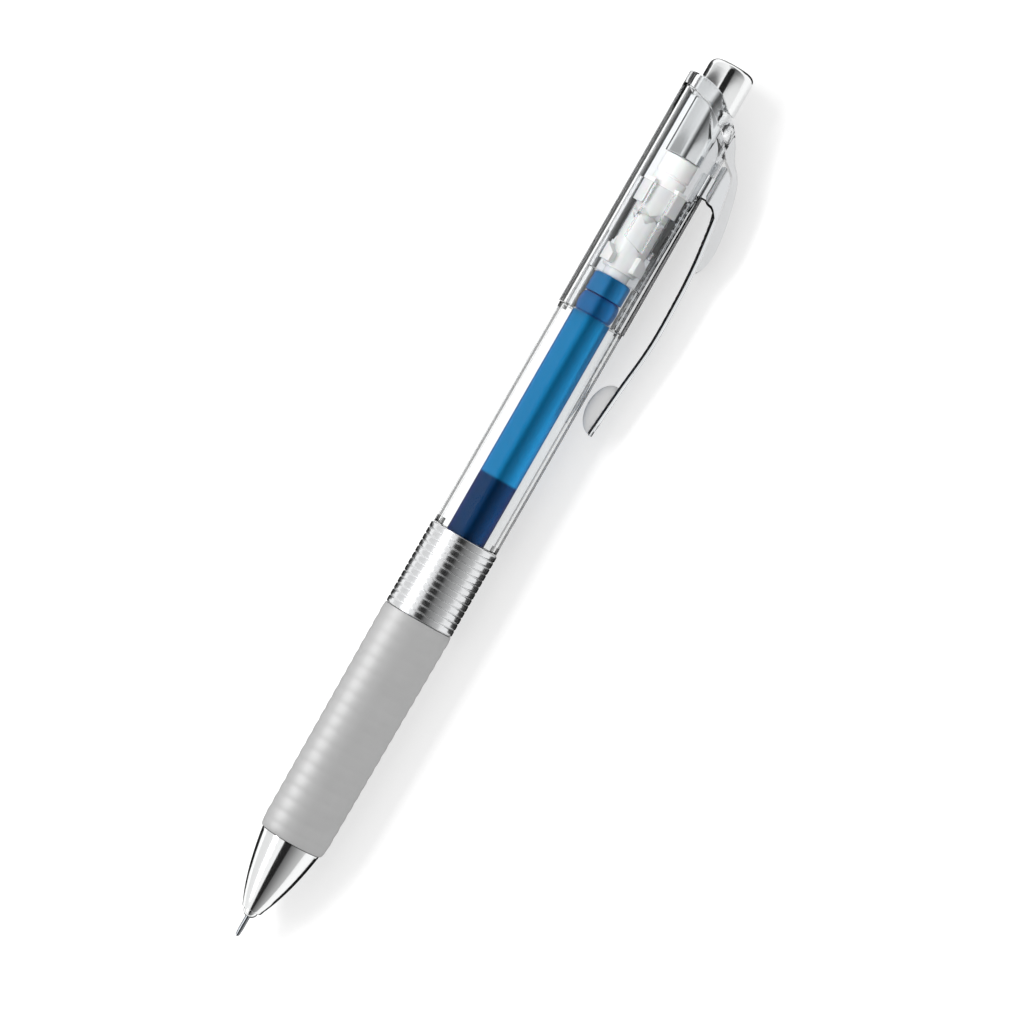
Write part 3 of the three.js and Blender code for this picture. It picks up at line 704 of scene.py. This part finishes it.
# ---------------------------------------------------------------- refill
# An extruded tube of blue tinted polypropylene, closed by a moulded plug with an air
# hole. Dark blue gel ink fills its front half, with a plug of clear grease behind it.

blue_sheen = linear("#3A80C0")
tinted, tree, shader = new_material("Tinted polypropylene tube", roughness=0.34, ior=1.49,
                                    specular_ior_level=0.2, specular_tint=blue_sheen)
dry = cloud_colour(tree, shader, "#1690D0", "#1C98D8", 1.0, stretch=(20, 900, 900))
# Where ink wets the bore, the tube is nearly as dark as the ink
ink_low, ink_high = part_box("ink_column")
place = add_node(tree, "ShaderNodeTexCoord", {})
where = add_node(tree, "ShaderNodeSeparateXYZ", {"Vector": place.outputs["Object"]})
wet = add_node(tree, "ShaderNodeMapRange", {"Value": where.outputs["X"],
                                            "From Min": ink_high.x - 0.4 * mm,
                                            "From Max": ink_high.x})
tone = add_node(tree, "ShaderNodeMix", {"Factor": wet.outputs["Result"]}, data_type="RGBA")
tone.inputs["A"].default_value = linear("#053C6E")
tree.links.new(dry.outputs["Result"], tone.inputs["B"])
tree.links.new(tone.outputs["Result"], shader.inputs["Base Color"])
mirror = add_node(tree, "ShaderNodeMapRange", {"Value": wet.outputs["Result"], "To Min": 0.75,
                                               "To Max": 0.62})
tree.links.new(mirror.outputs["Result"], shader.inputs["Metallic"])
refill = turn_ring("tube", [
    (tube_low.x, tube_bore),
    (tube_low.x, tube_r),
    (tube_high.x, tube_r),
    (tube_high.x, tube_bore),
])
soften(refill, 0.06 * mm)
fit(refill, "refill", "tinted_tube", tinted, "refill_tube")

ink_r = tube_bore - 0.02 * mm
meniscus = 0.7 * mm
ink_blue, tree, shader = new_material("Dark blue gel ink", roughness=0.08, coat_weight=0.5)
cloud_colour(tree, shader, "#06143A", "#0A1F52", 400.0)
ink = turn("gel_ink", [
    (ink_low.x, 0),
    (ink_low.x, ink_r),
    (ink_high.x - meniscus, ink_r),
    *[(ink_high.x - meniscus + meniscus * math.sin(a), ink_r * math.cos(a))
      for a in [math.radians(6 * n) for n in range(1, 15)]],
    (ink_high.x, 0),
])
fit(ink, "refill", "ink", ink_blue, "ink_column")

grease_low, grease_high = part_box("follower_gel")
grease, tree, shader = new_material("Clear follower grease", roughness=0.05, ior=1.46,
                                    transmission_weight=1.0, base_color=linear("#D5E8F5"))
ripple(tree, shader, 900.0, 0.15, 0.05 * mm)
follower = turn("grease_plug", [
    (grease_low.x + 0.1 * mm, 0),
    (grease_low.x, ink_r),
    (grease_high.x - 0.3 * mm, ink_r),
    (grease_high.x - 0.08 * mm, ink_r * 0.92),
    (grease_high.x, ink_r * 0.6),
    (grease_high.x, 0),
])
fit(follower, "refill", "follower", grease, "follower_gel")

plug_low, plug_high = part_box("tail_plug")
vent_r, bulb_r = reach("tail_plug")
bulb_x = tube_high.x + 0.1 * mm
bulb_long = 3.1 * mm
plug_blue, tree, shader = new_material("Blue moulded plastic", roughness=0.34, metallic=0.6,
                                       specular_ior_level=0.2, specular_tint=blue_sheen)
bulb_tone = cloud_colour(tree, shader, "#0A88D6", "#0E90E0", 350.0)
place = add_node(tree, "ShaderNodeTexCoord", {})
# The cap is thinner, so more light comes back out of it
where = add_node(tree, "ShaderNodeSeparateXYZ", {"Vector": place.outputs["Object"]})
on_cap = add_node(tree, "ShaderNodeMapRange", {"Value": where.outputs["X"],
                                               "From Min": bulb_x + bulb_long,
                                               "From Max": bulb_x + bulb_long + 0.2 * mm})
tone = add_node(tree, "ShaderNodeMix", {"Factor": on_cap.outputs["Result"]}, data_type="RGBA")
tree.links.new(bulb_tone.outputs["Result"], tone.inputs["A"])
tone.inputs["B"].default_value = linear("#1E9EE8")
tree.links.new(tone.outputs["Result"], shader.inputs["Base Color"])
bulb_neck_r = 0.84 * bulb_r
bulb = []
for n in range(1, 15):
    a = math.radians(12 * n)
    bulge = bulb_neck_r + (bulb_r - bulb_neck_r) * math.sin(a)
    bulb.append((bulb_x + bulb_long / 2 * (1 - math.cos(a)), bulge))
cap_r = 2.92 * mm
plug = turn_ring("refill_plug", [
    (plug_low.x, vent_r),
    (plug_low.x, tube_bore - 0.02 * mm),
    (bulb_x, tube_bore - 0.02 * mm),
    *bulb,
    (bulb_x + bulb_long, bulb_neck_r),
    (bulb_x + bulb_long + 0.12 * mm, cap_r),
    (plug_high.x - 0.35 * mm, cap_r),
    (plug_high.x - 0.08 * mm, cap_r - 0.15 * mm),
    (plug_high.x, cap_r - 0.4 * mm),
    (plug_high.x, vent_r),
])
fit(plug, "refill", "plug_plastic", plug_blue, "tail_plug")

# The refill has a lamp of its own on the clip's side, and none of the main one's glare
lit_refill = bpy.data.collections.new("lit_refill")
for piece in (refill, plug):
    lit_pieces.objects.unlink(piece)
    lit_refill.objects.link(piece)
refill_side = turned @ leaning(-80)
area_lamp("refill_lamp", refill_side, 0.4, (0.4, 0.2), 0.4, lit_refill, solid_pieces)

# ---------------------------------------------------------------- clip housing
# Clear, faintly grey moulded shell round the latch, cut off on a slanted curve behind
# and slotted on the clip's side for the hooked foot of the clip.


def smooth(points, steps):
    """Points on a smooth curve through the given points, some steps to each stretch."""
    line = [Vector(p) for p in points]
    line = [line[0] * 2 - line[1], *line, line[-1] * 2 - line[-2]]
    out = []
    for a, b, c, d in zip(line, line[1:], line[2:], line[3:]):
        for n in range(steps):
            t = n / steps
            out.append((b * 2 + (c - a) * t + (a * 2 - b * 5 + c * 4 - d) * t * t
                        + (b * 3 - a - c * 3 + d) * t * t * t) / 2)
    return [tuple(p) for p in [*out, line[-2]]]


def draw_out(name, outline, move):
    """A block: the face inside a line of points, drawn out along a vector."""
    draw_line(outline)
    bpy.ops.mesh.edge_face_add()
    bpy.ops.mesh.extrude_region_move(TRANSFORM_OT_translate={"value": move})
    return close_up(name)


def plate(name, outline, width):
    """A plate with an (x, y) outline, of a width across the plane of the clip."""
    return draw_out(name, [(x, y, -width / 2) for x, y in outline], (0, 0, width))


def combine(piece, tool, operation):
    """Cuts, joins or crops a piece with a tool, and clears the tool away."""
    modify(piece, "BOOLEAN", object=tool, operation=operation, solver="EXACT")
    bpy.data.objects.remove(tool)


def tidy_cut(piece):
    """Merges what a cut left doubled and drops its slivers."""
    pick(piece)
    bpy.ops.object.mode_set(mode="EDIT")
    bpy.ops.mesh.select_all(action="SELECT")
    bpy.ops.mesh.remove_doubles(threshold=0.01 * mm)
    bpy.ops.mesh.dissolve_degenerate(threshold=0.005 * mm)
    bpy.ops.object.mode_set(mode="OBJECT")


end_x = cad_box[1].x - 5.6 * mm
shell_bore = 4.4 * mm
shell_r = reach("clip_housing")[1]
slant = [
    (0.4, 1.0), (-0.4, -2.35), (-1.6, -5.35), (-3.5, -7.86), (-5.0, -9.52), (-6.6, -10.7),
    (-8.4, -12.8),
]


def slant_line(back_off):
    """The curve where the housing ends, from the side away from the clip to its root."""
    return smooth([(end_x + x * mm - back_off, shell_r + y * mm) for x, y in slant], 5)


shell = turn_ring("housing", [
    (housing_low.x, shell_bore),
    (housing_low.x, shell_r),
    (end_x + 2 * mm, shell_r),
    (end_x + 2 * mm, shell_bore),
], steps=128)
keep = plate("keep", [
    (housing_low.x - mm, 2 * shell_r),
    (housing_low.x - mm, -2 * shell_r),
    (end_x - 8.5 * mm, -2 * shell_r),
    *reversed(slant_line(0.1 * mm)),
    (end_x + 0.3 * mm, 2 * shell_r),
], 4 * shell_r)
combine(shell, keep, "INTERSECT")
foot_x = end_x - 14.5 * mm
slot_wide = 3.3 * mm
slot = plate("slot", [
    (foot_x + 1.25 * mm, -2 * shell_r),
    (foot_x + 4.75 * mm, -2 * shell_r),
    (foot_x + 4.75 * mm, -0.6 * shell_r),
    (foot_x + 1.25 * mm, -0.6 * shell_r),
], slot_wide)
combine(shell, slot, "DIFFERENCE")
tidy_cut(shell)
soften(shell, 0.12 * mm)
smoke, tree, shader = new_material(
    "Grey tinted polycarbonate", roughness=0.0, ior=1.5, transmission_weight=1.0,
    base_color=linear("#F4F5F6"), specular_tint=linear("#808080"),
)
ripple(tree, shader, 240.0, 0.15, 0.04 * mm)
fit(shell, "barrel", "clear_grey_plastic", smoke, "clip_housing")

# ---------------------------------------------------------------- end cap
# The clear cover that closes the housing: a slanted ring round the push button, drawn
# out into a tongue that holds the clip down. Moulded in one and welded on.

button_gap_r = 3.85 * mm
outside = smooth([(end_x + x * mm, -shell_r + y * mm) for x, y in [
    (2.0, 11.7), (1.9, 8.56), (1.0, 5.35), (-0.6, 3.2), (-2.4, 1.07), (-4.2, -0.25),
    (-6.5, -1.5), (-9.0, -3.35), (-14.5, -4.85), (-19.2, -5.45), (-21.7, -5.15), (-22.8, -4.6),
]], 5)


def clip_back(lift):
    """The clip's outer face under the tongue, from its root to the tongue's end."""
    return smooth([(end_x + x * mm, -shell_r + y * mm - lift) for x, y in [
        (-8.9, -2.2), (-14.2, -3.2), (-20.4, -4.05), (-22.9, -4.3),
    ]], 6)


cover = plate("end_cover", [
    *slant_line(0), *clip_back(0.12 * mm), *reversed(outside),
], 4 * shell_r)
envelope = turn("envelope", [
    (end_x - 12 * mm, 0), (end_x - 12 * mm, shell_r), (end_x + 3 * mm, shell_r),
    (end_x + 3 * mm, 0),
], steps=128)
tongue_wide = 4.6 * mm
tongue = plate("tongue", [
    (end_x - 23.5 * mm, -shell_r - 8 * mm),
    (end_x - 3 * mm, -shell_r - 8 * mm),
    (end_x - 3 * mm, -0.6 * shell_r),
    (end_x - 23.5 * mm, -0.6 * shell_r),
], tongue_wide)
combine(envelope, tongue, "UNION")
combine(cover, envelope, "INTERSECT")
hole = turn("hole", [
    (end_x - 13 * mm, 0), (end_x - 13 * mm, button_gap_r), (end_x + 4 * mm, button_gap_r),
    (end_x + 4 * mm, 0),
], steps=128)
combine(cover, hole, "DIFFERENCE")
tidy_cut(cover)
soften(cover, 0.25 * mm, segments=3, angle=30)
fit(cover, "barrel", "clear_grey_plastic", smoke, "end_cap")

# ---------------------------------------------------------------- clip
# One strip of bright spring steel, 0.8 mm thick: a foot hooked through the housing, a
# folded block on top of it, and an arm that narrows to a rounded end with a pressed leaf.

strip_thick = 0.8 * mm
root_wide = 4.4 * mm
tip_wide = 3.2 * mm
arm_tip_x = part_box("clip_arm")[0].x
arm_root_x = end_x - 22.9 * mm
seat_y = -shell_r - 0.1 * mm
foot_y = -shell_bore + 0.4 * mm
arm_back = smooth([
    (arm_root_x, -shell_r - 4.3 * mm),
    (end_x - 27.2 * mm, -shell_r - 4.52 * mm),
    (end_x - 35.2 * mm, -shell_r - 4.57 * mm),
    (end_x - 43.2 * mm, -shell_r - 3.81 * mm),
    (arm_tip_x, -shell_r - 3.18 * mm),
], 6)
back_face = [*clip_back(0), *arm_back[1:]]
front_face = [
    (x, y + strip_thick) for x, y in reversed(back_face) if x < end_x - 14.6 * mm
]
# Pressed from polished strip: fine rolling lines run along it, drawn 0.08 mm apart
strip_steel, tree, shader = new_material("Polished spring steel", metallic=1.0,
                                         base_color=linear("#DADCDE"))
place = add_node(tree, "ShaderNodeTexCoord", {})
along = add_node(tree, "ShaderNodeMapping", {"Vector": place.outputs["Object"],
                                             "Scale": (150, 12000, 12000)})
lines = add_node(tree, "ShaderNodeTexNoise", {"Vector": along.outputs["Vector"], "Scale": 1.0})
dull = add_node(tree, "ShaderNodeMapRange", {"Value": lines.outputs["Fac"], "To Min": 0.08,
                                             "To Max": 0.2})
tree.links.new(dull.outputs["Result"], shader.inputs["Roughness"])
# Steel painted dark grey for the clip's inner chamfers: its dark colour is a painted reflection
painted_dark_edge_steel, tree, shader = new_material("Spring steel with painted dark reflection", metallic=1.0, roughness=0.45)
cloud_colour(tree, shader, "#2E2F30", "#4A4B4C", 2500.0)
clip = plate("spring_clip", [
    *back_face,
    *front_face,
    (end_x - 13.95 * mm, -shell_r - 2.2 * mm),
    (end_x - 13.55 * mm, -shell_r - 1.7 * mm),
    (end_x - 13.3 * mm, seat_y),
    (end_x - 7.0 * mm, seat_y),
], root_wide)
clip.data.materials.append(strip_steel)
clip.data.materials.append(painted_dark_edge_steel)


def bevel_sides(piece, on_edge, width, segments, slot):
    """Bevels the edges of a plate's two sides where both of an edge's ends are on_edge."""
    pick(piece)
    bpy.ops.object.mode_set(mode="EDIT")
    bpy.ops.mesh.select_all(action="DESELECT")
    bpy.ops.object.mode_set(mode="OBJECT")
    for edge in piece.data.edges:
        ends = [piece.data.vertices[n].co for n in edge.vertices]
        one_side = abs(ends[0].z - ends[1].z) < mm
        edge.select = one_side and all(on_edge(end) for end in ends)
    bpy.ops.object.mode_set(mode="EDIT")
    bpy.ops.mesh.select_mode(type="EDGE")
    bpy.ops.mesh.bevel(offset=width, offset_type="OFFSET", segments=segments, material=slot)
    bpy.ops.mesh.select_mode(type="VERT")
    bpy.ops.object.mode_set(mode="OBJECT")


# The block is folded round at its top, so its sides are rounded off there
bevel_sides(clip, lambda end: abs(end.y - seat_y) < 0.01 * mm, 1.3 * mm, 8, 0)
# The inner edges are chamfered like the rough shear of the press. The chamfers are painted dark
# grey, a painted reflection that draws a dark line along them
inner_line = {(round(x / mm, 3), round(y / mm, 3)) for x, y in front_face}
bevel_sides(clip, lambda end: (round(end.x / mm, 3), round(end.y / mm, 3)) in inner_line,
            0.36 * mm, 1, 1)
# The arm narrows from its cover to its tip, whose corners are rounded off
for vertex in clip.data.vertices:
    share = (vertex.co.x - arm_tip_x) / (arm_root_x - arm_tip_x)
    if share < 1:
        rounding = min(1, 0.55 + 0.45 * math.sin(min(1, share * 18) * math.pi / 2))
        vertex.co.z *= rounding * (tip_wide + (root_wide - tip_wide) * share) / root_wide
modify(clip, "TRIANGULATE")
foot = plate("foot", [
    (foot_x, foot_y),
    (foot_x, foot_y + 0.5 * mm),
    (foot_x + 4.6 * mm, foot_y + 0.5 * mm),
    (foot_x + 4.6 * mm, seat_y - mm),
    (foot_x + 1.4 * mm, seat_y - mm),
    (foot_x + 1.4 * mm, foot_y),
], 3.0 * mm)
combine(clip, foot, "UNION")
# The leaf is half a flattened ball on the arm's inner face, left as a shell of its own
leaf_long = 8.0 * mm
leaf_y = -shell_r - 2.8 * mm
bpy.ops.object.select_all(action="DESELECT")
bpy.ops.mesh.primitive_uv_sphere_add(
    segments=48, ring_count=24, radius=1, rotation=(0, math.pi / 2, 0),
)
leaf = bpy.context.active_object
bpy.ops.object.transform_apply(location=False, rotation=True, scale=False)
bpy.ops.object.mode_set(mode="EDIT")
bpy.ops.mesh.select_all(action="SELECT")
bpy.ops.transform.resize(value=(leaf_long / 2, 2.5 * mm, 1.25 * mm))
bpy.ops.transform.translate(value=(arm_tip_x + leaf_long / 2 + 0.1 * mm, leaf_y, 0))
bpy.ops.mesh.bisect(
    plane_co=(arm_tip_x, leaf_y - 0.1 * mm, 0), plane_no=(0.08, 1, 0), clear_inner=True,
    use_fill=True,
)
bpy.ops.object.mode_set(mode="OBJECT")
tidy_cut(clip)
leaf.select_set(True)
bpy.ops.object.join()
soften(clip, 0.07 * mm, angle=40)
fit(clip, None, "clip_steel", strip_steel, "clip_arm", "clip_root")
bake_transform(clip)

# A small lamp of its own lights the strip's upper edge
lit_pieces.objects.unlink(clip)
lit_clip = bpy.data.collections.new("lit_clip")
lit_clip.objects.link(clip)
area_lamp("edge_lamp", turned @ leaning(-3.43), 0.2, (0.4, 0.14), 0.17, lit_clip)

# ---------------------------------------------------------------- latch
# The guide sleeve is clear like the housing, with four grooves inside. The white cam
# turns a step at each press, and the white plunger under the button drives it.

sleeve_low, sleeve_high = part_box("cam_sleeve")
guide_r, sleeve_r = reach("cam_sleeve")
groove_r = sleeve_r - 0.5 * mm
guide_x = sleeve_low.x + 4.9 * mm
groove_half = math.radians(20)
lobe_half = math.radians(15)


def sector(name, inner, outer, start, stop, from_x, to_x, slope):
    """A block between two radii and two angles, whose far end falls back along a slope."""
    steps = 10
    angles = [start + (stop - start) * n / steps for n in range(steps + 1)]
    line = [(from_x, inner * math.cos(a), inner * math.sin(a)) for a in angles]
    line += [(from_x, outer * math.cos(a), outer * math.sin(a)) for a in reversed(angles)]
    made = draw_out(name, line, (to_x - from_x, 0, 0))
    if slope:
        ahead = math.copysign(1, to_x - from_x)
        middle = (start + stop) / 2
        fall = slope / (inner * (stop - start))
        bpy.ops.object.mode_set(mode="EDIT")
        bpy.ops.mesh.select_all(action="SELECT")
        bpy.ops.mesh.bisect(
            plane_co=(to_x, inner * math.cos(start), inner * math.sin(start)),
            plane_no=(ahead, -math.sin(middle) * fall, math.cos(middle) * fall),
            clear_outer=True, use_fill=True,
        )
        close_up(name)
    return made


sleeve = turn_ring("guide_sleeve", [
    (sleeve_low.x, groove_r),
    (sleeve_low.x, sleeve_r),
    (sleeve_high.x, sleeve_r),
    (sleeve_high.x, groove_r),
], steps=128)
for n in range(4):
    middle = n * math.pi / 2
    rib = sector("guide_rib", guide_r, groove_r + 0.05 * mm, middle + math.pi / 4 - groove_half,
                 middle - math.pi / 4 + groove_half, sleeve_high.x, guide_x, 1.0 * mm)
    combine(sleeve, rib, "UNION")
tidy_cut(sleeve)
soften(sleeve, 0.06 * mm)
fit(sleeve, "barrel", "white_plastic", smoke, "cam_sleeve")

# Moulded acetal: white, faintly waxy, with a soft gloss
acetal, tree, shader = new_material("White moulded acetal", roughness=0.32,
                                    subsurface_weight=0.2, subsurface_scale=0.5 * mm)
cloud_colour(tree, shader, "#F1F1EF", "#FAFAF8", 420.0)

cam_low, cam_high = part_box("cam_rotor")
lobe_r = reach("cam_rotor")[1]
cam_r = 2.6 * mm
crown_x = cam_high.x - 3 * mm
crown_rise = 1.0 * mm
teeth = 8


def crown(piece, edge_x, inner, rise):
    """Draws the edge of a turned end up into teeth."""
    for vertex in piece.data.vertices:
        x, y, z = vertex.co
        if abs(x - edge_x) < 0.02 * mm and math.hypot(y, z) > inner:
            turn_share = math.atan2(z, y) / (2 * math.pi) * teeth
            vertex.co.x += rise * (1 - abs(2 * (turn_share - math.floor(turn_share)) - 1))


cam = turn("latch_cam", [
    (cam_low.x, 0),
    (cam_low.x, cam_r - 0.6 * mm),
    (cam_low.x + 1.2 * mm, cam_r - 0.6 * mm),
    (cam_low.x + 1.2 * mm, cam_r),
    (crown_x, cam_r),
    (crown_x, 1.3 * mm),
    (cam_high.x - 0.2 * mm, 1.3 * mm),
    (cam_high.x, 1.1 * mm),
    (cam_high.x, 0),
], steps=64)
crown(cam, crown_x, 2.5 * mm, crown_rise)
lobe_x = guide_x - 3.2 * mm
for n in range(4):
    middle = (n + 0.5) * math.pi / 2
    lobe = sector("lobe", cam_r - 0.3 * mm, lobe_r, middle - lobe_half, middle + lobe_half,
                  lobe_x, lobe_x + 2.6 * mm, 0.9 * mm)
    combine(cam, lobe, "UNION")
tidy_cut(cam)
soften(cam, 0.06 * mm)
fit(cam, "rotor", "white_plastic", acetal, "cam_rotor")

plunger_low, plunger_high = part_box("plunger")
block_end_x = plunger_high.x - 5.9 * mm
peg_r = 1.9 * mm
drive = turn("button_plunger", [
    (plunger_low.x + 3 * mm, 0),
    (plunger_low.x + 3 * mm, 1.5 * mm),
    (plunger_low.x, 1.5 * mm),
    (plunger_low.x, cam_r),
    (block_end_x - 3.3 * mm, cam_r),
    (block_end_x - 3.2 * mm, cam_r - 0.25 * mm),
    (block_end_x - 2.95 * mm, cam_r - 0.25 * mm),
    (block_end_x - 2.85 * mm, cam_r),
    (block_end_x, cam_r),
    (block_end_x, peg_r),
    (plunger_high.x, peg_r),
    (plunger_high.x, 0),
], steps=64)
crown(drive, plunger_low.x, 2.5 * mm, 0.8 * crown_rise)
fin_x = plunger_low.x + 1.2 * mm
for n in range(4):
    middle = (n + 0.5) * math.pi / 2
    fin = sector("fin", cam_r - 0.3 * mm, lobe_r, middle - lobe_half, middle + lobe_half,
                 fin_x, fin_x + 4 * mm, 0)
    combine(drive, fin, "UNION")
tidy_cut(drive)
soften(drive, 0.06 * mm)
fit(drive, "button", "white_plastic", acetal, "plunger")

# A lamp of its own keeps the latch white on the clip's side too
lit_latch = bpy.data.collections.new("lit_latch")
for piece in (cam, drive):
    lit_latch.objects.link(piece)
latch_side = turned @ leaning(-19.29)
area_lamp("latch_lamp", latch_side, 0.5, (0.5, 0.2), 1.2, lit_latch, solid_pieces)

# ---------------------------------------------------------------- push button
# A drawn and plated cup: a narrow stem inside the housing, and a wider cap with a
# rounded edge and a flat end for the thumb.

button_low, button_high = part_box("push_button")
button_r = reach("push_button")[1]
stem_r = 2.85 * mm
cap_x = button_high.x - 6.5 * mm
cap_edge = 1.3 * mm
button = turn("press_button", [
    (block_end_x + 6.0 * mm, 0),
    (block_end_x + 6.0 * mm, 2.0 * mm),
    (button_low.x, 2.0 * mm),
    (button_low.x, stem_r),
    (cap_x, stem_r),
    (cap_x, button_r),
    *arc(button_high.x - cap_edge, button_r - cap_edge, cap_edge, 90, 0, 14),
    (button_high.x, 0),
], steps=128)
soften(button, 0.1 * mm, segments=3, angle=60)
fit(button, "button", "bright_plate", chrome, "push_button")
# It mirrors the room and the cards, and takes no light of the softbox
lit_pieces.objects.unlink(button)
